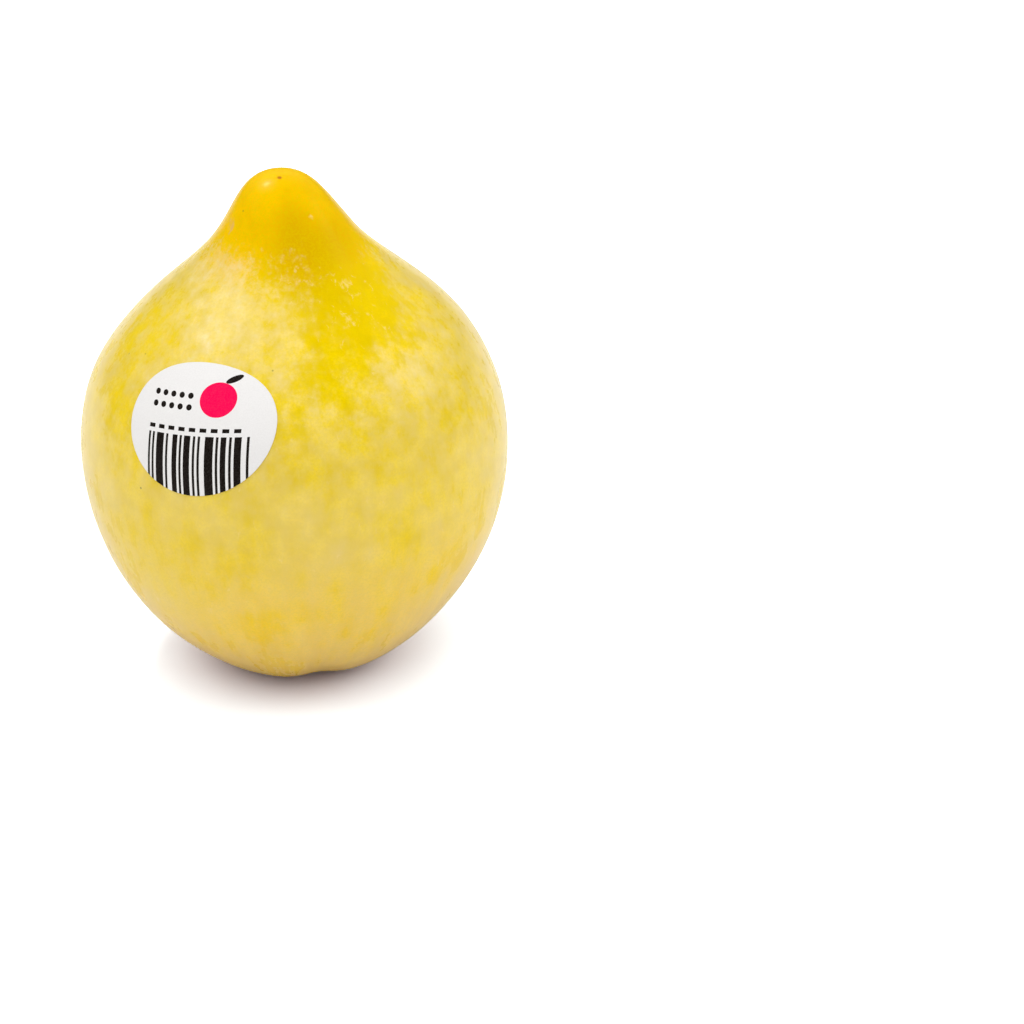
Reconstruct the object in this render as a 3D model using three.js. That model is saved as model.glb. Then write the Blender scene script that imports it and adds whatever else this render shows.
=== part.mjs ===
// A yellow plum of the pointed, lemon-like kind, standing on its stem end, with an oval
// paper label stuck on its side. Units are millimetres, +Z is up, and the origin is the
// middle of the flat ring that the fruit stands on.
import * as THREE from "three";

// Fruit: outline. Radii are from the stem-to-tip axis and heights are from the ground.
const WIDTH = 56.6;
const DEPTH_SHARE = 0.98; // a plum is a little narrower across its seam than along it
const HEIGHT = 69.3;
const EQUATOR_HEIGHT = 30.7;
const FOOT_OUTER_RADIUS = 7;
const FOOT_INNER_RADIUS = 5;
const NECK_RADIUS = 10;
const NECK_HEIGHT = 59.9;
const NECK_SLOPE = THREE.MathUtils.degToRad(50.7);

// Fruit: how far each stretch of the outline keeps its direction before it turns.
const FOOT_REACH = 5.8;
const BELLY_REACH = 18;
const SHOULDER_REACH = 17.3;
const NECK_REACH_DOWN = 8.5;
const NECK_REACH_UP = 6.6;
const TIP_REACH = 5.2;

// Fruit: the dent that the stalk leaves, the seam down one side, and the lean of the tip.
const STEM_DENT_DEPTH = 4.2;
const STEM_DENT_FLOOR = 2; // how far the floor of the dent runs level from its middle
const STEM_DENT_WALL = 2.75; // where its wall aims before it bends out to the foot
const SEAM_AZIMUTH = THREE.MathUtils.degToRad(-80);
const SEAM_DEPTH = 0.4;
const SEAM_DEPTH_AT_STEM = 0.6;
const SEAM_HALF_WIDTH = 2.8;
const SEAM_FADE_RADIUS = 5;
const CHEEK_SWELL = 0.2;
const FULL_SHOULDER = 0.35; // the shoulder on the +X side stands this much prouder
const FULL_SHOULDER_FROM = 40;
const FULL_SHOULDER_RISE = 10;
const FULL_SHOULDER_FALL = 8;
const LEAN_X = -0.7;
const LEAN_Y = -1.2;
const LEAN_FROM = 44;

// Fruit: mesh density.
const SEGMENTS_ROUND = 60;
const RINGS = { stemDent: 6, foot: 1, belly: 14, shoulder: 14, tip: 9 };

// Label: a flat oval wrapped on the skin. Its middle is at an azimuth and a height.
const LABEL_WIDTH = 20.7;
const LABEL_HEIGHT = 17;
const LABEL_AZIMUTH = THREE.MathUtils.degToRad(-119);
const LABEL_MIDDLE_HEIGHT = 43.6;
const LABEL_THICKNESS = 0.3;
const LABEL_GAP = 0.3;
const LABEL_TURN = THREE.MathUtils.degToRad(6);
const LABEL_RINGS = 7;
const LABEL_SEGMENTS = 40;

const point = (radius, height) => new THREE.Vector2(radius, height);
const clamp01 = (x) => Math.min(1, Math.max(0, x));
const smooth = (x) => clamp01(x) ** 2 * (3 - 2 * clamp01(x));

// The half outline of the fruit, from the bottom of the stem dent, over the foot, the belly
// and the shoulder, to the top of the tip.
function fruitOutline() {
  const radius = WIDTH / 2;
  const neck = point(NECK_RADIUS, NECK_HEIGHT);
  const neckDirection = point(-Math.cos(NECK_SLOPE), Math.sin(NECK_SLOPE));
  const along = (distance) => neck.clone().addScaledVector(neckDirection, distance);
  return {
    stemDent: new THREE.CubicBezierCurve(
      point(0, STEM_DENT_DEPTH),
      point(STEM_DENT_FLOOR, STEM_DENT_DEPTH),
      point(STEM_DENT_WALL, 0),
      point(FOOT_INNER_RADIUS, 0),
    ),
    foot: new THREE.LineCurve(point(FOOT_INNER_RADIUS, 0), point(FOOT_OUTER_RADIUS, 0)),
    belly: new THREE.CubicBezierCurve(
      point(FOOT_OUTER_RADIUS, 0),
      point(FOOT_OUTER_RADIUS + FOOT_REACH, 0),
      point(radius, EQUATOR_HEIGHT - BELLY_REACH),
      point(radius, EQUATOR_HEIGHT),
    ),
    shoulder: new THREE.CubicBezierCurve(
      point(radius, EQUATOR_HEIGHT),
      point(radius, EQUATOR_HEIGHT + SHOULDER_REACH),
      along(-NECK_REACH_DOWN),
      neck,
    ),
    tip: new THREE.CubicBezierCurve(
      neck,
      along(NECK_REACH_UP),
      point(TIP_REACH, HEIGHT),
      point(0, HEIGHT),
    ),
  };
}

const outline = fruitOutline();

// Every ring of the fruit as a curve of the outline and a share of its length.
const stations = Object.entries(outline).flatMap(([name, curve], index) => {
  const steps = Array.from({ length: RINGS[name] + 1 }, (_, i) => i / RINGS[name]);
  return (index === 0 ? steps : steps.slice(1)).map((share) => ({ curve, share }));
});

// How deep the seam is pressed in at this azimuth, on a ring of this radius and height.
function seamDepth(azimuth, radius, height) {
  const turn = Math.atan2(Math.sin(azimuth - SEAM_AZIMUTH), Math.cos(azimuth - SEAM_AZIMUTH));
  const across = (radius * turn) / SEAM_HALF_WIDTH;
  const nearStem = 1 - smooth(height / (EQUATOR_HEIGHT / 2));
  const depth = THREE.MathUtils.lerp(SEAM_DEPTH, SEAM_DEPTH_AT_STEM, nearStem);
  return depth * Math.exp(-across * across) * smooth(radius / SEAM_FADE_RADIUS);
}

// The point of the skin at an azimuth and a station of the outline.
function skinPoint(azimuth, { curve, share }) {
  const at = curve.getPointAt(share);
  const tangent = curve.getTangentAt(share);
  const swell = CHEEK_SWELL * Math.cos(2 * (azimuth - SEAM_AZIMUTH)) * smooth(at.y / EQUATOR_HEIGHT);
  const shoulder =
    smooth((at.y - FULL_SHOULDER_FROM) / FULL_SHOULDER_RISE) *
    smooth((HEIGHT - at.y) / FULL_SHOULDER_FALL);
  const outward =
    swell * smooth(at.x / (WIDTH / 2)) +
    FULL_SHOULDER * Math.cos(azimuth) * shoulder -
    seamDepth(azimuth, at.x, at.y);
  const radius = Math.max(0, at.x + tangent.y * outward);
  const height = at.y - tangent.x * outward;
  const lean = smooth((at.y - LEAN_FROM) / (HEIGHT - LEAN_FROM));
  return new THREE.Vector3(
    radius * Math.cos(azimuth) + LEAN_X * lean,
    radius * Math.sin(azimuth) * DEPTH_SHARE + LEAN_Y * lean,
    height,
  );
}

// A closed surface over a stack of rings, each with the same number of points, between one
// point before the first ring and one after the last.
function closedRings(first, rings, last) {
  const count = rings[0].length;
  const positions = [first, ...rings.flat(), last].flatMap((p) => [p.x, p.y, p.z]);
  const end = rings.length * count + 1;
  const at = (ring, i) => 1 + ring * count + (i % count);
  const index = [];
  for (let i = 0; i < count; i += 1) {
    index.push(0, at(0, i + 1), at(0, i));
    for (let ring = 0; ring + 1 < rings.length; ring += 1) {
      index.push(at(ring, i), at(ring, i + 1), at(ring + 1, i + 1));
      index.push(at(ring, i), at(ring + 1, i + 1), at(ring + 1, i));
    }
    index.push(at(rings.length - 1, i), at(rings.length - 1, i + 1), end);
  }
  const geometry = new THREE.BufferGeometry();
  geometry.setAttribute("position", new THREE.Float32BufferAttribute(positions, 3));
  geometry.setIndex(index);
  geometry.computeVertexNormals();
  return geometry;
}

function fruitGeometry() {
  const azimuths = Array.from(
    { length: SEGMENTS_ROUND },
    (_, i) => (i / SEGMENTS_ROUND) * 2 * Math.PI,
  );
  const rings = stations
    .slice(1, -1)
    .map((station) => azimuths.map((azimuth) => skinPoint(azimuth, station)));
  return closedRings(skinPoint(0, stations[0]), rings, skinPoint(0, stations.at(-1)));
}

// A station on the shoulder curve, found from its height by halving.
function shoulderStation(height) {
  let [low, high] = [0, 1];
  for (let i = 0; i < 30; i += 1) {
    const middle = (low + high) / 2;
    if (outline.shoulder.getPointAt(middle).y < height) low = middle;
    else high = middle;
  }
  return low;
}

// The skin under a point of the flat label: x to its right and y up, from its middle. The
// result is lifted off the skin by a distance.
function labelPoint(x, y, lift, middleShare) {
  const length = outline.shoulder.getLength();
  const place = (dx, dy) => {
    const share = middleShare + (y + dy) / length;
    const ring = outline.shoulder.getPointAt(share);
    return skinPoint(LABEL_AZIMUTH + (x + dx) / ring.x, { curve: outline.shoulder, share });
  };
  const step = 0.01;
  const right = place(step, 0).sub(place(-step, 0));
  const up = place(0, step).sub(place(0, -step));
  return place(0, 0).addScaledVector(right.cross(up).normalize(), lift);
}

function labelGeometry() {
  const middleShare = shoulderStation(LABEL_MIDDLE_HEIGHT);
  const ring = (share, lift) =>
    Array.from({ length: LABEL_SEGMENTS }, (_, i) => {
      const angle = (i / LABEL_SEGMENTS) * 2 * Math.PI;
      const flat = new THREE.Vector2(
        (LABEL_WIDTH / 2) * share * Math.cos(angle),
        (LABEL_HEIGHT / 2) * share * Math.sin(angle),
      ).rotateAround(new THREE.Vector2(), LABEL_TURN);
      return labelPoint(flat.x, flat.y, lift, middleShare);
    });
  const shares = Array.from({ length: LABEL_RINGS }, (_, i) => (i + 1) / LABEL_RINGS);
  const under = shares.map((share) => ring(share, LABEL_GAP));
  const over = shares.map((share) => ring(share, LABEL_GAP + LABEL_THICKNESS)).reverse();
  return closedRings(
    labelPoint(0, 0, LABEL_GAP, middleShare),
    [...under, ...over],
    labelPoint(0, 0, LABEL_GAP + LABEL_THICKNESS, middleShare),
  );
}

function part(name, geometry, finish) {
  const mesh = new THREE.Mesh(geometry, new THREE.MeshStandardMaterial(finish));
  mesh.name = name;
  return mesh;
}

const plum = new THREE.Group();
plum.name = "yellow_plum";
plum.add(
  part("plum", fruitGeometry(), { color: 0xecc948, roughness: 0.45, metalness: 0 }),
  part("label", labelGeometry(), { color: 0xe6e2dc, roughness: 0.4, metalness: 0 }),
);

export default plum;
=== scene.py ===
# A ripe yellow plum of the pointed, lemon-like kind, standing on its stem end, with an oval
# paper fruit label on its side. Lengths are in metres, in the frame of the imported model: +Z is
# up, and the origin is the middle of the ring that the fruit stands on.
import math
import bpy
import numpy as np
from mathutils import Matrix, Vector, noise
from mathutils.geometry import delaunay_2d_cdt


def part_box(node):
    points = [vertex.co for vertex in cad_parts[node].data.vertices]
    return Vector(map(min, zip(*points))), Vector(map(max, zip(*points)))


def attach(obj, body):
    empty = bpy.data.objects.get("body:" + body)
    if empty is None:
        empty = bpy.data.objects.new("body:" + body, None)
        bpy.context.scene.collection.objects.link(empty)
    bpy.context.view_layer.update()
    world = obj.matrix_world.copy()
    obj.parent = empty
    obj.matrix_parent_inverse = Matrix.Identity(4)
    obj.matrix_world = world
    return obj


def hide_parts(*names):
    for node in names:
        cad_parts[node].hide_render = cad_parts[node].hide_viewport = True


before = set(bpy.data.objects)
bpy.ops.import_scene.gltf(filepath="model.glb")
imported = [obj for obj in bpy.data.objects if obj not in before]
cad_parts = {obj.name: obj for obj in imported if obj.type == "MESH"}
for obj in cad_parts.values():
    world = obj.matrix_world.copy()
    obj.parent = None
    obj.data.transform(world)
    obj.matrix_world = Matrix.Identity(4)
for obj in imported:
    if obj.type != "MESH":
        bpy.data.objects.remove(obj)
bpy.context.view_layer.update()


# ---- The fruit -----------------------------------------------------------------------
# A whole plum, grown as one piece: a round body that narrows over sloping shoulders to a
# blunt tip with a dot where the flower's style fell off. Below is the dent where the stalk
# sat, with its corky scar. A shallow seam runs from the stalk end to the tip.
MM = 0.001
# The fruit's depth from front to back is a share of its width. Its outline is five curves, and
# each REACH is how far a curve keeps its direction at its end.
FRUIT_WIDTH = 56.6 * MM
DEPTH_SHARE = 0.98
FRUIT_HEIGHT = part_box("plum")[1].z
EQUATOR_HEIGHT = 30.7 * MM
FOOT_OUTER_RADIUS = 7 * MM
FOOT_INNER_RADIUS = 5 * MM
NECK_RADIUS = 10 * MM
NECK_HEIGHT = 59.9 * MM
NECK_SLOPE = math.radians(50.7)
FOOT_REACH = 5.8 * MM
BELLY_REACH = 18 * MM
SHOULDER_REACH = 17.3 * MM
NECK_REACH_DOWN = 8.5 * MM
NECK_REACH_UP = 6.6 * MM
TIP_REACH = 5.2 * MM
STEM_DENT_DEPTH = 4.2 * MM
STEM_DENT_FLOOR = 2 * MM
STEM_DENT_WALL = 2.75 * MM


def curve_points(corners, count=1500):
    """Places, and unit directions, along a flat cubic curve given by its four corners."""
    first, second, third, last = (np.array(corner) for corner in corners)
    share = np.linspace(0, 1, count)[:, None]
    rest = 1 - share
    place = rest**3 * first + 3 * rest**2 * share * second
    place += 3 * rest * share**2 * third + share**3 * last
    way = rest**2 * (second - first) + 2 * rest * share * (third - second)
    way += share**2 * (last - third)
    return place, way / np.linalg.norm(way, axis=1, keepdims=True)


def fruit_outline():
    """The half outline from the floor of the stem dent, over the foot and belly, to the tip."""
    radius = FRUIT_WIDTH / 2
    neck = np.array((NECK_RADIUS, NECK_HEIGHT))
    neck_way = np.array((-math.cos(NECK_SLOPE), math.sin(NECK_SLOPE)))
    foot_inner = (FOOT_INNER_RADIUS, 0)
    foot_outer = (FOOT_OUTER_RADIUS, 0)
    foot_third = (FOOT_OUTER_RADIUS - FOOT_INNER_RADIUS) / 3
    equator = (radius, EQUATOR_HEIGHT)
    dent_floor = (STEM_DENT_FLOOR, STEM_DENT_DEPTH)
    after_foot = (FOOT_OUTER_RADIUS + FOOT_REACH, 0)
    below_equator = (radius, EQUATOR_HEIGHT - BELLY_REACH)
    above_equator = (radius, EQUATOR_HEIGHT + SHOULDER_REACH)
    below_neck = neck - NECK_REACH_DOWN * neck_way
    above_neck = neck + NECK_REACH_UP * neck_way
    foot_thirds = ((FOOT_INNER_RADIUS + foot_third, 0), (FOOT_OUTER_RADIUS - foot_third, 0))
    stretches = (
        ((0, STEM_DENT_DEPTH), dent_floor, (STEM_DENT_WALL, 0), foot_inner),
        (foot_inner, *foot_thirds, foot_outer),
        (foot_outer, after_foot, below_equator, equator),
        (equator, above_equator, below_neck, neck),
        (neck, above_neck, (TIP_REACH, FRUIT_HEIGHT), (0, FRUIT_HEIGHT)),
    )
    curves = [curve_points(corners) for corners in stretches]
    places = np.concatenate([curves[0][0]] + [place[1:] for place, _ in curves[1:]])
    ways = np.concatenate([curves[0][1]] + [way[1:] for _, way in curves[1:]])
    steps = np.linalg.norm(np.diff(places, axis=0), axis=1)
    return places, ways, np.concatenate(([0], np.cumsum(steps)))


outline_place, outline_way, outline_along = fruit_outline()

# What makes the fruit differ from a turned one: the seam down its front, cheeks on both sides
# of it, a fuller shoulder on the right, a tip that leans, and an uneven skin.
SEAM_AZIMUTH = math.radians(-80)
SEAM_DEPTH = 0.4 * MM
SEAM_DEPTH_AT_STEM = 0.6 * MM
SEAM_HALF_WIDTH = 2.8 * MM
SEAM_FADE_RADIUS = 5 * MM
CHEEK_SWELL = 0.2 * MM
FULL_SHOULDER = 0.35 * MM
FULL_SHOULDER_FROM = 40 * MM
FULL_SHOULDER_RISE = 10 * MM
FULL_SHOULDER_FALL = 8 * MM
LEAN_X = -0.7 * MM
LEAN_Y = -1.2 * MM
LEAN_FROM = 44 * MM
# Each row is the size of a swell in the skin and how far it stands out or in.
UNEVENNESS = ((17 * MM, 0.16 * MM), (6 * MM, 0.05 * MM), (2.2 * MM, 0.012 * MM))
UNEVEN_FROM = 1.5 * MM
UNEVEN_RISE = 8 * MM
UNEVEN_FALL = 6 * MM


def smooth(value):
    """Turns 0 to 1 into a soft step from 0 to 1."""
    value = np.clip(value, 0, 1)
    return value * value * (3 - 2 * value)


def wandering(places, size):
    """A smooth random value from -1 to 1 at each place, with swells of this size."""
    flat = places.reshape(-1, 3) / size
    values = np.array([noise.noise(Vector(place)) for place in flat])
    return values.reshape(places.shape[:-1])


def skin(azimuth, along):
    """Points of the skin at these azimuths and distances along the outline."""
    azimuth, along = np.broadcast_arrays(azimuth, along)
    radius = np.interp(along, outline_along, outline_place[:, 0])
    height = np.interp(along, outline_along, outline_place[:, 1])
    way_out = np.interp(along, outline_along, outline_way[:, 0])
    way_up = np.interp(along, outline_along, outline_way[:, 1])
    turn = azimuth - SEAM_AZIMUTH
    across = radius * np.arctan2(np.sin(turn), np.cos(turn)) / SEAM_HALF_WIDTH
    near_stem = 1 - smooth(height / (EQUATOR_HEIGHT / 2))
    seam = SEAM_DEPTH + (SEAM_DEPTH_AT_STEM - SEAM_DEPTH) * near_stem
    seam = seam * np.exp(-across * across) * smooth(radius / SEAM_FADE_RADIUS)
    swell = CHEEK_SWELL * np.cos(2 * turn) * smooth(height / EQUATOR_HEIGHT)
    shoulder = smooth((height - FULL_SHOULDER_FROM) / FULL_SHOULDER_RISE)
    shoulder = shoulder * smooth((FRUIT_HEIGHT - height) / FULL_SHOULDER_FALL)
    outward = swell * smooth(radius / (FRUIT_WIDTH / 2)) - seam
    outward = outward + FULL_SHOULDER * np.cos(azimuth) * shoulder
    place = np.stack((radius * np.cos(azimuth), radius * np.sin(azimuth), height), axis=-1)
    uneven = smooth((height - UNEVEN_FROM) / UNEVEN_RISE)
    uneven = uneven * smooth((FRUIT_HEIGHT - height) / UNEVEN_FALL)
    for size, depth in UNEVENNESS:
        outward = outward + depth * wandering(place, size) * uneven
    radius = np.maximum(0, radius + way_up * outward)
    height = height - way_out * outward
    lean = smooth((place[..., 2] - LEAN_FROM) / (FRUIT_HEIGHT - LEAN_FROM))
    return np.stack(
        (
            radius * np.cos(azimuth) + LEAN_X * lean,
            radius * np.sin(azimuth) * DEPTH_SHARE + LEAN_Y * lean,
            height,
        ),
        axis=-1,
    )


# How many points there are round the fruit, and how many steps from the stem dent to the tip.
RING_POINTS = 352
RING_STEPS = 232
# Rings crowd together towards both ends, where the skin curves most.
RING_CROWDING = 0.15
# The style scar is a dot with a raised rim. The stalk scar is a rough hollow in a raised rim.
STYLE_SCAR = Vector((-0.79, -2.95, 68.95)) * MM
STYLE_SCAR_RADIUS = 0.3 * MM
STYLE_SCAR_RELIEF = 0.07 * MM
STALK_SCAR_RADIUS = 1.5 * MM
STALK_SCAR_RIM = 0.25 * MM
STALK_SCAR_HOLLOW = 0.3 * MM
STALK_SCAR_ROUGHNESS = 0.12 * MM
STALK_SCAR_GRAIN = 0.45 * MM


def new_mesh(name, places, faces, smooth):
    """A new object of this name with a closed mesh, shaded smooth or flat."""
    mesh = bpy.data.meshes.new(name)
    mesh.from_pydata([tuple(place) for place in places], [], faces)
    mesh.polygons.foreach_set("use_smooth", [smooth] * len(mesh.polygons))
    mesh.update()
    made = bpy.data.objects.new(name, mesh)
    bpy.context.scene.collection.objects.link(made)
    return made


def hump(distance, centre, sharpness):
    """1 at a distance, and less on both sides of it."""
    return np.exp(-((distance - centre) ** 2) * sharpness)


def add_scars(places):
    """Raises and sinks the skin's places at the style scar and at the stalk scar."""
    from_style = np.linalg.norm(places - np.array(STYLE_SCAR), axis=1) / STYLE_SCAR_RADIUS
    places[:, 2] += STYLE_SCAR_RELIEF * (hump(from_style, 0.9, 6) - hump(from_style, 0, 4))
    from_stalk = np.hypot(places[:, 0], places[:, 1]) / STALK_SCAR_RADIUS
    in_dent = (from_stalk < 2) & (places[:, 2] < EQUATOR_HEIGHT)
    scar = STALK_SCAR_RIM * hump(from_stalk, 1, 14) - STALK_SCAR_HOLLOW * hump(from_stalk, 0, 3)
    rough = wandering(places, STALK_SCAR_GRAIN) * smooth(1.6 - from_stalk)
    scar = scar + STALK_SCAR_ROUGHNESS * rough
    places[:, 2] -= np.where(in_dent, scar, 0)


def fruit_mesh():
    """The fruit's skin as rings round its axis, closed by a point at each end."""
    azimuth = np.linspace(0, 2 * math.pi, RING_POINTS, endpoint=False)
    share = np.linspace(0, 1, RING_STEPS + 1)
    share = share - RING_CROWDING * np.sin(2 * math.pi * share) / math.pi
    along = share * outline_along[-1]
    rings = skin(azimuth[None, :], along[1:-1, None])
    ends = skin(np.array((0.0, 0.0)), along[[0, -1]])
    places = np.concatenate((ends[:1], rings.reshape(-1, 3), ends[1:]))
    add_scars(places)
    faces = []
    for ring in range(len(rings) - 1):
        low = 1 + ring * RING_POINTS
        high = low + RING_POINTS
        for i in range(RING_POINTS):
            j = (i + 1) % RING_POINTS
            faces.append((low + i, low + j, high + j, high + i))
    top = 1 + (len(rings) - 1) * RING_POINTS
    last = len(places) - 1
    for i in range(RING_POINTS):
        j = (i + 1) % RING_POINTS
        faces.append((0, 1 + j, 1 + i))
        faces.append((top + i, top + j, last))
    return new_mesh("plum_skin", places, faces, smooth=True)


fruit = fruit_mesh()


def paint(red, green, blue):
    """A paint colour given as 0 to 255 values, as the linear colour that shaders use."""
    values = (value / 255 for value in (red, green, blue))
    return [v / 12.92 if v <= 0.04045 else ((v + 0.055) / 1.055) ** 2.4 for v in values] + [1]


def add_node(tree, kind, feeds, **settings):
    """Adds a shader node, sets it up, and feeds its sockets with sockets or fixed values."""
    made = tree.nodes.new("ShaderNode" + kind)
    for name, value in settings.items():
        setattr(made, name, value)
    for socket, feed in feeds.items():
        if isinstance(feed, bpy.types.NodeSocket):
            tree.links.new(feed, made.inputs[socket])
        else:
            made.inputs[socket].default_value = feed
    return made


def calc(tree, operation, *values):
    """The result of a sum on values that are sockets or numbers."""
    return add_node(tree, "Math", dict(enumerate(values)), operation=operation).outputs[0]


def fade(tree, value, low, high, to_low=0.0, to_high=1.0):
    """A soft step of a value, from one number at low to another at high."""
    feeds = {0: value, 1: low, 2: high, 3: to_low, 4: to_high}
    return add_node(tree, "MapRange", feeds, interpolation_type="SMOOTHSTEP").outputs[0]


def cloud(tree, place, scale, detail=2.0, roughness=0.5):
    """A random cloudy value from 0 to 1; scale is how many clouds there are to the unit."""
    feeds = {"Vector": place, "Scale": scale, "Detail": detail, "Roughness": roughness}
    return add_node(tree, "TexNoise", feeds).outputs[0]


def tint(tree, share, first, second):
    """The first colour with a share of the second laid over it."""
    return add_node(tree, "Mix", {0: share, 6: first, 7: second}, data_type="RGBA").outputs[2]


def in_millimetres(tree):
    """The place of a point of the object, in millimetres in the object's own frame."""
    own = add_node(tree, "TexCoord", {}).outputs["Object"]
    return add_node(tree, "VectorMath", {0: own, "Scale": 1 / MM}, operation="SCALE").outputs[0]


def stretched(tree, place, stretch):
    """A place with each of its axes multiplied, which draws out the clouds that are made on it."""
    return add_node(tree, "VectorMath", {0: place, 1: stretch}, operation="MULTIPLY").outputs[0]


def near(tree, place, centre, radius):
    """1 at a point of the object given in millimetres, and 0 beyond a radius round it."""
    away = add_node(tree, "VectorMath", {0: place, 1: centre}, operation="DISTANCE")
    return fade(tree, away.outputs["Value"], radius, 0.0)


# The skin's own colours, the wax on it, its marks, and the colours of the shade painted on it.
SKIN_GOLD = paint(248, 196, 0)
# A deeper gold, used for the neck's own mottling and as painted shade on the tip and neck.
SKIN_DEEP_GOLD_AND_SHADE = paint(220, 170, 0)
SKIN_LEMON = paint(244, 212, 0)
SKIN_OLIVE = paint(228, 196, 0)
# A painted shade colour, laid where shade falls on the neck and below it.
PAINTED_OLIVE_SHADE = paint(216, 182, 0)
SKIN_OCHRE = paint(253, 211, 6)
SKIN_LOW_SHADE = paint(226, 184, 4)
BLOOM = paint(255, 243, 216)
# A darker, greyer bloom for low on the body, partly the bloom's own tone and partly painted shade.
LOW_BLOOM_AND_SHADE = paint(230, 216, 208)
FLAKE = paint(255, 228, 160)
SCUFF = paint(226, 180, 104)
SCAR_BROWN = paint(188, 116, 26)
SPECK_BROWN = paint(140, 120, 40)
CORK = paint(150, 112, 70)

# Each row below is a place on the skin in millimetres, how far its effect reaches, and how
# strong it is. Where the bloom lies thicker, or thinner by a minus, than it does elsewhere:
BLOOM_CHANGES = (
    ((-8.6, -13.9, 53.9), 8, 0.3),
    ((-9.0, -7.0, 60.0), 7.5, 0.3),
    ((-12.5, -3.5, 57.5), 5, 0.15),
    ((-0.7, -13.8, 56.3), 7, -0.08),
    ((2.6, -10.5, 59.2), 6, -0.07),
    ((7.3, -9.0, 58.8), 8, -0.3),
    ((8.0, -12.5, 55.6), 11, -0.28),
    ((5.5, -17.0, 52.0), 9, -0.28),
    ((5.0, -20.5, 48.5), 8, -0.12),
    ((12.9, -13.4, 52.2), 8, -0.25),
    ((11.3, -9.0, 56.0), 5, -0.12),
    ((2.0, -23.0, 42.0), 11, -0.12),
    ((-18.0, -6.4, 50.8), 8, -0.28),
    ((-23.3, -12.2, 40.7), 7, -0.14),
    ((-13.2, -24.1, 25.8), 9, -0.1),
)
# Where the ground is tinted, and towards which colour. The deep gold and deep olive rows are
# painted shade: on the tip's right side, down the shaded middle of the neck along the seam, and
# over the saddle below the neck. The lemon rows are the skin's own greener tone:
GROUND_TONES_AND_SHADE = (
    ((1.5, -3.0, 69.0), 4.5, 0.35, SKIN_DEEP_GOLD_AND_SHADE),
    ((0.7, -6.8, 65.2), 3.5, 0.6, SKIN_DEEP_GOLD_AND_SHADE),
    ((0.2, -8.3, 63.3), 4.0, 0.7, SKIN_DEEP_GOLD_AND_SHADE),
    ((2.4, -8.7, 61.8), 5.0, 0.7, SKIN_DEEP_GOLD_AND_SHADE),
    ((6.0, -7.0, 61.7), 6.0, 0.7, SKIN_DEEP_GOLD_AND_SHADE),
    ((3.0, -11.0, 58.6), 8.5, 0.8, PAINTED_OLIVE_SHADE),
    ((1.2, -9.8, 60.2), 5.5, 0.7, SKIN_DEEP_GOLD_AND_SHADE),
    ((1.2, -13.2, 56.6), 4.0, 0.3, PAINTED_OLIVE_SHADE),
    ((6.5, -15.0, 54.0), 7.0, 0.45, PAINTED_OLIVE_SHADE),
    ((11.0, -9.5, 56.0), 6.0, 0.3, PAINTED_OLIVE_SHADE),
    ((-17.8, -7.3, 50.8), 9.0, 0.8, SKIN_LEMON),
    ((-19.2, -18.4, 21.6), 16.0, 0.8, SKIN_LEMON),
)
# Where the skin is scuffed or the bloom has dried into flakes:
FLAKE_PLACES = (
    ((3.1, -6.3, 64.9), 1.0, 0.4),
    ((6.9, -10.9, 57.5), 1.8, 0.3),
    ((2.0, -10.5, 59.4), 5.0, 0.12),
    ((6.7, -14.7, 54.4), 4.0, 0.12),
    ((11.0, -11.0, 55.0), 6.0, 0.08),
)
# Single dark specks, the spot where the tip is polished, and the place where it is scuffed:
SPECK_PLACES = (
    (-20.6, -7.65, 47.7),
    (-18.4, -10.3, 48.75),
    (-2.5, -20.1, 50.2),
    (-5.5, -4.65, 65.35),
)
SPECK_RADIUS = 0.2
POLISHED_PLACE = (-2.4, -3.7, 68.5)
POLISHED_RADIUS = 1.8
SCUFFED_PLACE = (-7.0, -4.0, 63.3)
SCUFFED_RADIUS = 2.6
STYLE_SCAR_REACH = 0.65
STALK_SCAR_PLACE = (0, 0, STEM_DENT_DEPTH / MM)
STALK_SCAR_REACH = 2.6
# The heights in millimetres at which each look of the skin begins and is complete:
LOW_SKIN = (33.0, 13.0)
LOW_WAX_AND_SHADE = (40.0, 20.0)
LOW_BLOOM_LAYER = (40.0, 14.0)
HANDLED_SKIN = (30.0, 50.0)
BARE_SKIN = (53.0, 65.0)
RIPE_SKIN = (58.5, 67.0)
FEWER_FLAKES = (58.0, 63.0)
# The clouds on the sides are laid on an upright tube of this radius, and stretched upwards.
SIDE_RADIUS = 26.0
SIDE_STRETCH = 0.3


def down_the_side(tree, place, height):
    """Places that change fast round the fruit and slowly up it, so that clouds run in streaks."""
    level = stretched(tree, place, (1, 1, 0))
    outward = add_node(tree, "VectorMath", {0: level}, operation="NORMALIZE").outputs[0]
    on_tube = add_node(tree, "VectorMath", {0: outward, "Scale": SIDE_RADIUS}, operation="SCALE")
    rise = add_node(tree, "CombineXYZ", {2: calc(tree, "MULTIPLY", height, SIDE_STRETCH)})
    feeds = {0: on_tube.outputs[0], 1: rise.outputs[0]}
    return add_node(tree, "VectorMath", feeds, operation="ADD").outputs[0]


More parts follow.
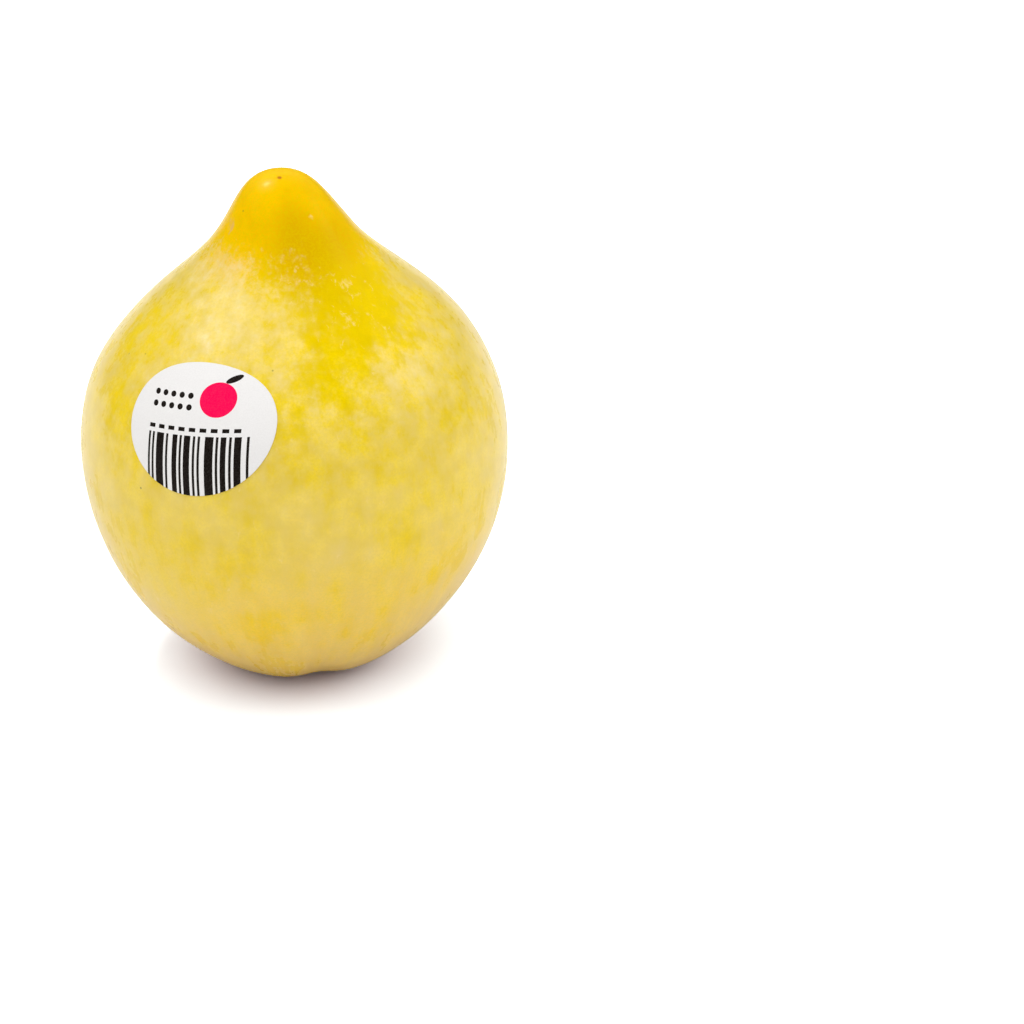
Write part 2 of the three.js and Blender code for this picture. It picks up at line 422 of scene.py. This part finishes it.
def skin_ground(tree, place, height, side, large, middle):
    """The skin's colour: gold at the tip, lemon with olive dapples on the body, and painted shade
    in deep gold and deep olive on the tip's right side, down the neck and below it.
    """
    ripe = fade(tree, calc(tree, "MULTIPLY_ADD", middle, 6.0, height), *RIPE_SKIN)
    dapples = calc(tree, "MULTIPLY_ADD", large, 0.5, cloud(tree, place, 0.35, 4, 0.6))
    body = tint(tree, fade(tree, dapples, 0.55, 0.95), SKIN_LEMON, SKIN_OLIVE)
    low = fade(tree, height, *LOW_SKIN)
    body = tint(tree, low, body, SKIN_OCHRE)
    shade = fade(tree, cloud(tree, side, 0.35, 5, 0.6), 0.35, 0.65, 0.0, 0.4)
    body = tint(tree, calc(tree, "MULTIPLY", shade, low), body, SKIN_LOW_SHADE)
    worn = fade(tree, cloud(tree, place, 0.5, 5, 0.65), 0.4, 0.7, 0.0, 0.35)
    neck = tint(tree, worn, SKIN_GOLD, SKIN_DEEP_GOLD_AND_SHADE)
    ground = tint(tree, ripe, body, neck)
    # Painted shade: the deep gold and deep olive rows darken the skin where shade falls.
    for centre, reach, strength, colour in GROUND_TONES_AND_SHADE:
        tone_and_shade = calc(tree, "MULTIPLY", near(tree, place, centre, reach), strength)
        ground = tint(tree, tone_and_shade, ground, colour)
    return ground


def skin_bloom(tree, place, height, side, large, middle):
    """How thick the pale wax of the bloom lies: none at the tip, mottled over the body."""
    streaks = cloud(tree, side, 0.45, 4, 0.55)
    mottle = cloud(tree, place, 0.5, 6, 0.62)
    flecks = cloud(tree, place, 1.6, 3, 0.65)
    # Low on the body, where nothing touched it, the bloom lies more evenly, in faint streaks.
    handled = fade(tree, height, *HANDLED_SKIN, 0.2, 1.1)
    speckled = calc(tree, "MULTIPLY_ADD", mottle, 1.7, calc(tree, "MULTIPLY", flecks, 0.5))
    speckled = calc(tree, "MULTIPLY", calc(tree, "SUBTRACT", speckled, 1.1), handled)
    amount = fade(tree, height, *LOW_BLOOM_LAYER, 0.36, 0.33)
    for centre, reach, change in BLOOM_CHANGES:
        amount = calc(tree, "MULTIPLY_ADD", near(tree, place, centre, reach), change, amount)
    amount = calc(tree, "MULTIPLY_ADD", speckled, 0.45, amount)
    for clouds, gain in ((large, 0.4), (middle, 0.5), (streaks, 0.55)):
        amount = calc(tree, "ADD", amount, calc(tree, "MULTIPLY_ADD", clouds, gain, -gain / 2))
    # Its upper edge, below the bare neck, is ragged.
    ragged = calc(tree, "MULTIPLY_ADD", flecks, -6.0, height)
    bare = fade(tree, ragged, *BARE_SKIN, 0.0, 1.3)
    amount = fade(tree, calc(tree, "SUBTRACT", amount, bare), -0.1, 1.1)
    # Thick bloom is speckled more than thin.
    return calc(tree, "MULTIPLY", amount, calc(tree, "MULTIPLY_ADD", speckled, 1.1, 1.0))


def skin_flakes(tree, place, height):
    """Pale dry flakes and thin worm-like scuffs, thickest in a few places."""
    tall = stretched(tree, place, (1, 1, 0.6))
    chips = cloud(tree, tall, 1.0, 4, 0.62)
    # A worm is where a slow cloud passes through its middle value.
    from_middle = calc(tree, "SUBTRACT", cloud(tree, tall, 0.6, 2, 0.5), 0.5)
    worms = fade(tree, calc(tree, "ABSOLUTE", from_middle), 0.04, 0.0, 0.0, 0.12)
    fewer = fade(tree, height, *FEWER_FLAKES, 0.0, -0.12)
    flakes = calc(tree, "ADD", calc(tree, "ADD", chips, worms), fewer)
    for centre, reach, strength in FLAKE_PLACES:
        flakes = calc(tree, "MULTIPLY_ADD", near(tree, place, centre, reach), strength, flakes)
    return fade(tree, flakes, 0.66, 0.9)


def skin_marks(tree, place, colour):
    """A colour with the scuffs, the specks, the style scar and the corky stalk scar on it."""
    # Each cell of a cell pattern has a speck at its middle, and about three in ten are kept.
    cells = add_node(tree, "TexVoronoi", {"Vector": place, "Scale": 0.16})
    chosen = add_node(tree, "SeparateColor", {0: cells.outputs["Color"]}).outputs[0]
    speck = fade(tree, cells.outputs["Distance"], 0.03, 0.015)
    speck = calc(tree, "MULTIPLY", speck, fade(tree, chosen, 0.7, 0.72))
    scuffs = cloud(tree, stretched(tree, place, (2, 2, 0.7)), 0.9, 3, 0.6)
    scuffed = near(tree, place, SCUFFED_PLACE, SCUFFED_RADIUS)
    scuffs = calc(tree, "MULTIPLY_ADD", scuffed, 0.5, scuffs)
    colour = tint(tree, fade(tree, scuffs, 0.82, 1.0, 0.0, 0.7), colour, SCUFF)
    for centre in SPECK_PLACES:
        speck = calc(tree, "MAXIMUM", speck, near(tree, place, centre, SPECK_RADIUS))
    colour = tint(tree, calc(tree, "MULTIPLY", speck, 0.8), colour, SPECK_BROWN)
    style = near(tree, place, STYLE_SCAR / MM, STYLE_SCAR_REACH)
    colour = tint(tree, fade(tree, style, 0.3, 0.9), colour, SCAR_BROWN)
    stalk = near(tree, place, STALK_SCAR_PLACE, STALK_SCAR_REACH)
    return tint(tree, fade(tree, stalk, 0.1, 0.5), colour, CORK)


def skin_material():
    """Waxy fruit skin: golden and bare at the tip, lemon under a pale bloom on the body."""
    material = bpy.data.materials.new("plum_skin")
    material.use_nodes = True
    tree = material.node_tree
    shader = tree.nodes["Principled BSDF"]
    place = in_millimetres(tree)
    height = add_node(tree, "SeparateXYZ", {0: place}).outputs["Z"]
    large = cloud(tree, place, 0.055, 2, 0.5)
    middle = cloud(tree, place, 0.16, 2, 0.5)
    fine = cloud(tree, place, 3.4, 3, 0.65)

    side = down_the_side(tree, place, height)
    ground = skin_ground(tree, place, height, side, large, middle)
    ground = tint(tree, fade(tree, fine, 0.35, 0.7, 0.0, 0.65), ground, SKIN_OLIVE)
    bloom = skin_bloom(tree, place, height, side, large, middle)
    flakes = skin_flakes(tree, place, height)
    # The bloom's colour turns darker and greyer towards the bottom, partly painted shade.
    wax = tint(tree, fade(tree, height, *LOW_WAX_AND_SHADE), BLOOM, LOW_BLOOM_AND_SHADE)
    colour = tint(tree, calc(tree, "MULTIPLY", bloom, 0.33), ground, wax)
    colour = tint(tree, calc(tree, "MULTIPLY", flakes, 0.4), colour, FLAKE)
    tree.links.new(skin_marks(tree, place, colour), shader.inputs["Base Color"])

    waxy = calc(tree, "MAXIMUM", bloom, flakes)
    tree.links.new(fade(tree, waxy, 0.0, 0.6, 0.18, 0.5), shader.inputs["Roughness"])
    # The bloom has a sheen at the edges, and the bare tip is polished in one spot.
    polish = calc(tree, "MULTIPLY", near(tree, place, POLISHED_PLACE, POLISHED_RADIUS), 0.35)
    sheen = calc(tree, "ADD", fade(tree, bloom, 0.0, 0.35, 0.0, 0.83), polish)
    tree.links.new(sheen, shader.inputs["Coat Weight"])
    relief = calc(tree, "MULTIPLY_ADD", fine, 0.5, calc(tree, "MULTIPLY", waxy, 0.5))
    bump = add_node(tree, "Bump", {"Height": relief, "Strength": 0.5, "Distance": 0.03 * MM})
    tree.links.new(bump.outputs[0], shader.inputs["Normal"])
    shader.inputs["Specular IOR Level"].default_value = 0.06
    shader.inputs["Specular Tint"].default_value = (1, 0.8, 0.08, 1)
    shader.inputs["Coat Roughness"].default_value = 0.28
    shader.inputs["Subsurface Weight"].default_value = 0.15
    shader.inputs["Subsurface Radius"].default_value = (1.0, 0.55, 0.12)
    shader.inputs["Subsurface Scale"].default_value = 2 * MM
    return material


fruit.data.materials.append(skin_material())
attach(fruit, "root")
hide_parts("plum")


# ---- The label -----------------------------------------------------------------------
# An oval sticker of thin coated paper, pressed onto the curved skin with its own glue. It is
# printed with a plain round fruit in pink with a dark leaf, and in the dark ink with two short
# rows of dots, a row of dashes and a row of bars.
LABEL_WIDTH = 20.7 * MM
LABEL_HEIGHT = 17 * MM
LABEL_AZIMUTH = math.radians(-119)
LABEL_MIDDLE_HEIGHT = 43.6 * MM
LABEL_TURN = math.radians(6)
LABEL_LIFT = 0.02 * MM
LABEL_THICKNESS = 0.09 * MM
LABEL_SIDES = 168
# Points lie this far apart inside the sheet, out to this share of its radius squared.
LABEL_GRID = 0.55 * MM
LABEL_GRID_REACH = 0.9
# How far out from a place on the label the direction of the skin is measured.
LABEL_PROBE = 0.05 * MM
# The print is cut into the sheet to within this many millimetres.
CUT_TOLERANCE = 1e-4

PAPER, DARK_INK, PINK_INK = range(3)


def label_place(flat, lift):
    """Places on the fruit of flat label points (x to the right, y up), lifted off its skin."""
    upper = outline_place[:, 1] > EQUATOR_HEIGHT
    middle = np.interp(LABEL_MIDDLE_HEIGHT, outline_place[upper, 1], outline_along[upper])
    x = flat[:, 0] * math.cos(LABEL_TURN) - flat[:, 1] * math.sin(LABEL_TURN)
    y = flat[:, 0] * math.sin(LABEL_TURN) + flat[:, 1] * math.cos(LABEL_TURN)

    def on_skin(right, up):
        along = middle + y + up
        ring = np.interp(along, outline_along, outline_place[:, 0])
        return skin(LABEL_AZIMUTH + (x + right) / ring, along)

    across = on_skin(LABEL_PROBE, 0) - on_skin(-LABEL_PROBE, 0)
    upward = on_skin(0, LABEL_PROBE) - on_skin(0, -LABEL_PROBE)
    normal = np.cross(across, upward)
    normal /= np.linalg.norm(normal, axis=1, keepdims=True)
    return on_skin(0, 0) + normal * lift


def oval(width, height, sides, centre=(0, 0), turn=0.0):
    """Points of an oval, anticlockwise, with its width turned by an angle."""
    angle = np.linspace(0, 2 * math.pi, sides, endpoint=False)
    x, y = width / 2 * np.cos(angle), height / 2 * np.sin(angle)
    return np.stack(
        (
            centre[0] + x * math.cos(turn) - y * math.sin(turn),
            centre[1] + x * math.sin(turn) + y * math.cos(turn),
        ),
        axis=-1,
    )


def bar(left, right, bottom, top):
    """The outline of an upright bar, anticlockwise, in short steps so that it can bend."""
    rise = np.arange(bottom, top, LABEL_GRID)
    right_side = np.stack((np.full(len(rise) + 1, right), np.append(rise, top)), axis=-1)
    left_side = np.stack((np.full(len(rise) + 1, left), np.append(top, rise[::-1])), axis=-1)
    return np.concatenate((right_side, left_side))


# The print is placed from the label's middle. The bars run down past its lower edge.
BARS_TOP = -1.1 * MM
BARS_LEFT = -6.8 * MM
BARS_RIGHT = 7.0 * MM
BAR_WIDTHS = (0.33 * MM, 0.33 * MM, 1.14 * MM, 0.33 * MM, 0.72 * MM, 0.33 * MM, 0.9 * MM)
BAR_GAPS = (0.3 * MM, 0.36 * MM, 0.33 * MM, 0.66 * MM, 0.3 * MM)
DASH_COUNT = 9
DASH_STEP = 1.5 * MM
DASH_LENGTH = 0.9 * MM
DASH_HEIGHT = 0.5 * MM
DOT_COUNT = 5
DOT_STEP = 1.3 * MM
DOT_SIZE = 0.8 * MM
DOT_SIDES = 16
DOTS_LEFT = -6.4 * MM
DOT_ROWS = (2.4 * MM, 3.9 * MM)
FRUIT_MARK_CENTRE = (2.6 * MM, 3.6 * MM)
FRUIT_MARK_SIZE = (4.9 * MM, 4.6 * MM)
FRUIT_MARK_SIDES = 48
LEAF_CENTRE = (4.3 * MM, 6.35 * MM)
LEAF_SIZE = (2.3 * MM, 0.85 * MM)
LEAF_SIDES = 24
LEAF_TURN = math.radians(24)


def print_shapes():
    """The printed shapes of the label, each with the ink that it is printed in."""
    shapes = []
    left = BARS_LEFT
    count = 0
    while left < BARS_RIGHT:
        right = left + BAR_WIDTHS[count % len(BAR_WIDTHS)]
        shapes.append((DARK_INK, bar(left, right, -LABEL_HEIGHT, BARS_TOP)))
        left = right + BAR_GAPS[count % len(BAR_GAPS)]
        count += 1
    fruit_mark = oval(*FRUIT_MARK_SIZE, FRUIT_MARK_SIDES, FRUIT_MARK_CENTRE)
    shapes.append((PINK_INK, fruit_mark))
    shapes.append((DARK_INK, oval(*LEAF_SIZE, LEAF_SIDES, LEAF_CENTRE, LEAF_TURN)))
    for i in range(DOT_COUNT):
        for height in DOT_ROWS:
            centre = (DOTS_LEFT + i * DOT_STEP, height)
            shapes.append((DARK_INK, oval(DOT_SIZE, DOT_SIZE, DOT_SIDES, centre)))
    bottom = BARS_TOP + DASH_HEIGHT
    for i in range(DASH_COUNT):
        left = BARS_LEFT + i * DASH_STEP
        dash = bar(left, left + DASH_LENGTH, bottom, bottom + DASH_HEIGHT)
        shapes.append((DARK_INK, dash))
    return shapes


def cut_sheet():
    """The flat oval cut along its print: its corners, its faces and the ink of each face."""
    edge = oval(LABEL_WIDTH, LABEL_HEIGHT, LABEL_SIDES)
    shapes = print_shapes()
    steps = np.arange(-LABEL_WIDTH / 2, LABEL_WIDTH / 2, LABEL_GRID)
    grid = np.array([(x, y) for x in steps for y in steps])
    from_middle = (grid[:, 0] / (LABEL_WIDTH / 2)) ** 2 + (grid[:, 1] / (LABEL_HEIGHT / 2)) ** 2
    places = list(edge)
    outlines = [list(range(len(edge)))]
    for _, shape in shapes:
        outlines.append(list(range(len(places), len(places) + len(shape))))
        places.extend(shape)
    places.extend(grid[from_middle < LABEL_GRID_REACH])
    flat = [Vector(place) / MM for place in places]
    cut = delaunay_2d_cdt(flat, [], outlines, 1, CUT_TOLERANCE)
    cut_places, _, cut_faces, _, _, inside_of = cut
    faces, inks = [], []
    # Outline 0 is the oval's own, and what lies outside it, as the bars' ends do, is left out.
    for face, around in zip(cut_faces, inside_of):
        if 0 in around:
            printed = [shapes[outline - 1][0] for outline in around if outline > 0]
            faces.append(face)
            inks.append(printed[0] if printed else PAPER)
    used = sorted({corner for face in faces for corner in face})
    number = {corner: i for i, corner in enumerate(used)}
    faces = [[number[corner] for corner in face] for face in faces]
    return np.array([cut_places[corner] for corner in used]) * MM, faces, inks


def label_mesh():
    """The label: its printed face, its plain back and the rim between them, on the skin."""
    flat, faces, inks = cut_sheet()
    count = len(flat)
    back_places = label_place(flat, LABEL_LIFT)
    front_places = label_place(flat, LABEL_LIFT + LABEL_THICKNESS)
    ink_beside = {}
    for face, ink in zip(faces, inks):
        for i in range(len(face)):
            ink_beside[face[i - 1], face[i]] = ink
    # A step from corner to corner that no other face takes the other way is on the rim.
    rim = [step for step in ink_beside if step[::-1] not in ink_beside]
    front = [[corner + count for corner in face] for face in faces]
    back = [face[::-1] for face in faces]
    walls = [[first, last, last + count, first + count] for first, last in rim]
    places = np.concatenate((back_places, front_places))
    made = new_mesh("fruit_label", places, front + back + walls, smooth=False)
    inks = inks + [PAPER] * len(back) + [ink_beside[step] for step in rim]
    made.data.polygons.foreach_set("material_index", inks)
    return made


label = label_mesh()

PAPER_WHITE = paint(240, 238, 236)
INK_BLACK = paint(14, 8, 5)
INK_PINK = paint(255, 0, 84)
FIBRE_GREY = (0.3, 0.27, 0.25, 1)
# Each row is a print colour's name and colour, its gloss, and how strongly and in which colour
# it mirrors the light.
PRINT_COLOURS = (
    ("label_paper", PAPER_WHITE, 0.15, 0.3, (1, 1, 1, 1)),
    ("label_dark_ink", INK_BLACK, 0.22, 0.05, (1, 0.8, 0.7, 1)),
    ("label_pink_ink", INK_PINK, 0.18, 0.05, (1, 0.05, 0.3, 1)),
)


def coated_paper_group():
    """A group for what every print colour on coated paper shares: its fibres and its gloss."""
    group = bpy.data.node_groups.new("coated paper", "ShaderNodeTree")
    ask = group.interface.new_socket
    ask(name="Colour", in_out="INPUT", socket_type="NodeSocketColor")
    ask(name="Gloss", in_out="INPUT", socket_type="NodeSocketFloat")
    ask(name="Colour", in_out="OUTPUT", socket_type="NodeSocketColor")
    ask(name="Roughness", in_out="OUTPUT", socket_type="NodeSocketFloat")
    ask(name="Height", in_out="OUTPUT", socket_type="NodeSocketFloat")
    asked = group.nodes.new("NodeGroupInput").outputs
    place = in_millimetres(group)
    fibres = cloud(group, place, 6.0, 4, 0.65)
    waves = cloud(group, place, 0.5, 2, 0.5)
    shaded = fade(group, fibres, 0.35, 0.7, 0.0, 0.07)
    darker = tint(group, shaded, asked["Colour"], FIBRE_GREY)
    rough = calc(group, "SUBTRACT", 0.5, asked["Gloss"])
    rough = calc(group, "MULTIPLY_ADD", fibres, 0.12, rough)
    height = calc(group, "MULTIPLY_ADD", waves, 3.0, calc(group, "MULTIPLY", fibres, 0.35))
    given_back = group.nodes.new("NodeGroupOutput").inputs
    group.links.new(darker, given_back["Colour"])
    group.links.new(rough, given_back["Roughness"])
    group.links.new(height, given_back["Height"])
    return group


coated_paper = coated_paper_group()


def print_material(name, colour, gloss, mirror, mirror_tint):
    """The finish of one print colour of the label, on coated paper."""
    material = bpy.data.materials.new(name)
    material.use_nodes = True
    tree = material.node_tree
    shader = tree.nodes["Principled BSDF"]
    paper = tree.nodes.new("ShaderNodeGroup")
    paper.node_tree = coated_paper
    paper.inputs["Colour"].default_value = colour
    paper.inputs["Gloss"].default_value = gloss
    tree.links.new(paper.outputs["Colour"], shader.inputs["Base Color"])
    tree.links.new(paper.outputs["Roughness"], shader.inputs["Roughness"])
    relief = {"Height": paper.outputs["Height"], "Strength": 0.35, "Distance": 0.02 * MM}
    bump = add_node(tree, "Bump", relief)
    tree.links.new(bump.outputs[0], shader.inputs["Normal"])
    shader.inputs["Specular IOR Level"].default_value = mirror
    shader.inputs["Specular Tint"].default_value = mirror_tint
    return material


for row in PRINT_COLOURS:
    label.data.materials.append(print_material(*row))
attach(label, "root")
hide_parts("label")


# ---- The studio ----------------------------------------------------------------------
# A wide white floor, a room that is brightest overhead and round the camera, four soft lamps,
# and a camera with a long lens that looks a little down on the fruit.
FLOOR_SIZE = 6.0
# The share of light that the floor throws back at the fruit, the share of what comes back from
# the fruit to the floor and up again, and the two tones in which the camera sees the floor.
FLOOR_BOUNCE = (0.98, 0.98, 0.98, 1)
FLOOR_SECOND_BOUNCE = (0.35, 0.09, 0.0, 1)
FLOOR_SEEN = (1.71, 1.92, 1.94, 1)
FLOOR_SEEN_DARKER = (1.67, 1.88, 1.9, 1)
CAMERA_LENS = 100
CAMERA_FILM = 36
CAMERA_RISE = math.radians(25)
CAMERA_AWAY = 0.3767
CAMERA_TARGET = Vector((0, 0, 33 * MM))
# Where the target is in the frame, in pixels to the right of the frame's middle and above it.
FRAME_PIXELS = 1024
TARGET_RIGHT = -213.5
TARGET_UP = 92.2

bpy.ops.mesh.primitive_plane_add(size=FLOOR_SIZE)
floor = bpy.context.object
floor.name = "floor"
floor_material = bpy.data.materials.new("floor_white")
floor_material.use_nodes = True
floor_tree = floor_material.node_tree
floor_own = add_node(floor_tree, "TexCoord", {}).outputs["Object"]
floor_cloud = cloud(floor_tree, floor_own, 40.0, 3, 0.5)
floor_path = add_node(floor_tree, "LightPath", {}).outputs
floor_later = fade(floor_tree, floor_path["Ray Depth"], 1.0, 2.0)
floor_back = tint(floor_tree, floor_later, FLOOR_BOUNCE, FLOOR_SECOND_BOUNCE)
floor_seen = tint(floor_tree, floor_cloud, FLOOR_SEEN, FLOOR_SEEN_DARKER)
floor_colour = tint(floor_tree, floor_path["Is Camera Ray"], floor_back, floor_seen)
floor_shader = floor_tree.nodes["Principled BSDF"]
floor_tree.links.new(floor_colour, floor_shader.inputs["Base Color"])
floor_shader.inputs["Roughness"].default_value = 0.8
floor_shader.inputs["Specular IOR Level"].default_value = 0.0
floor.data.materials.append(floor_material)

# How bright the room is at its walls and at its ceiling, and how high (0 is level and 1 is
# overhead) the one gives way to the other.
WALL_LIGHT = 0.08
CEILING_LIGHT = 1.22
LIGHT_RISE = (0.1, 0.95)
# How many times brighter the room is in a cone round the camera, and the cosines of the angles
# at the edge of the cone, where this begins, and at its core, where it is complete.
FRONT_LIGHT = 1.75
FRONT_EDGE = math.cos(math.radians(50))
FRONT_CORE = math.cos(math.radians(20))
room = bpy.data.worlds.new("room")
bpy.context.scene.world = room
room.use_nodes = True
room_tree = room.node_tree
towards_camera = Vector((0, -math.cos(CAMERA_RISE), math.sin(CAMERA_RISE)))
way = add_node(room_tree, "TexCoord", {}).outputs["Generated"]
facing = add_node(room_tree, "VectorMath", {0: way, 1: towards_camera}, operation="DOT_PRODUCT")
front = fade(room_tree, facing.outputs["Value"], FRONT_EDGE, FRONT_CORE, 1.0, FRONT_LIGHT)
rise = add_node(room_tree, "SeparateXYZ", {0: way}).outputs["Z"]
light = fade(room_tree, rise, *LIGHT_RISE, WALL_LIGHT, CEILING_LIGHT)
light = calc(room_tree, "MULTIPLY", light, front)
# The camera itself sees the room as plain white.
seen = add_node(room_tree, "LightPath", {}).outputs["Is Camera Ray"]
light = calc(room_tree, "MAXIMUM", light, seen)
room_tree.links.new(light, room_tree.nodes["Background"].inputs["Strength"])
room_tree.nodes["Background"].inputs["Color"].default_value = (1, 1, 1, 1)

# Each row is a lamp's name, its place, the length of its sides in metres and its power in watts.
LAMPS = (
    ("lamp_key", (-0.23, 0.19, 0.53), 0.3, 0.1),
    ("lamp_key_core", (-0.175, 0.16, 0.565), 0.06, 0.45),
    ("lamp_left", (-0.45, -0.1, 0.5), 0.3, 0.3),
    ("lamp_right", (0.5, -0.05, 0.37), 0.3, 0.55),
)


def soft_lamp(name, place, size, power):
    """A square lamp that faces the fruit."""
    lamp = bpy.data.lights.new(name, "AREA")
    lamp.size = size
    lamp.energy = power
    made = bpy.data.objects.new(name, lamp)
    made.location = place
    made.rotation_euler = (CAMERA_TARGET - Vector(place)).to_track_quat("-Z", "Y").to_euler()
    bpy.context.scene.collection.objects.link(made)


for lamp_row in LAMPS:
    soft_lamp(*lamp_row)

camera_data = bpy.data.cameras.new("camera")
camera_data.lens = CAMERA_LENS
camera_data.sensor_width = CAMERA_FILM
camera_place = CAMERA_TARGET + CAMERA_AWAY * towards_camera
# The camera aims beside the target, so that the target is where it belongs in the frame.
pixel_at_target = CAMERA_FILM / CAMERA_LENS * CAMERA_AWAY / FRAME_PIXELS
camera_right = Vector((1, 0, 0))
camera_up = camera_right.cross(-towards_camera)
aim = CAMERA_TARGET - (TARGET_RIGHT * camera_right + TARGET_UP * camera_up) * pixel_at_target
camera = bpy.data.objects.new("camera", camera_data)
camera.location = camera_place
camera.rotation_euler = (aim - camera_place).to_track_quat("-Z", "Y").to_euler()
camera_data.clip_start = 10 * MM
bpy.context.scene.collection.objects.link(camera)
bpy.context.scene.camera = camera
bpy.context.scene.view_settings.view_transform = "Standard"
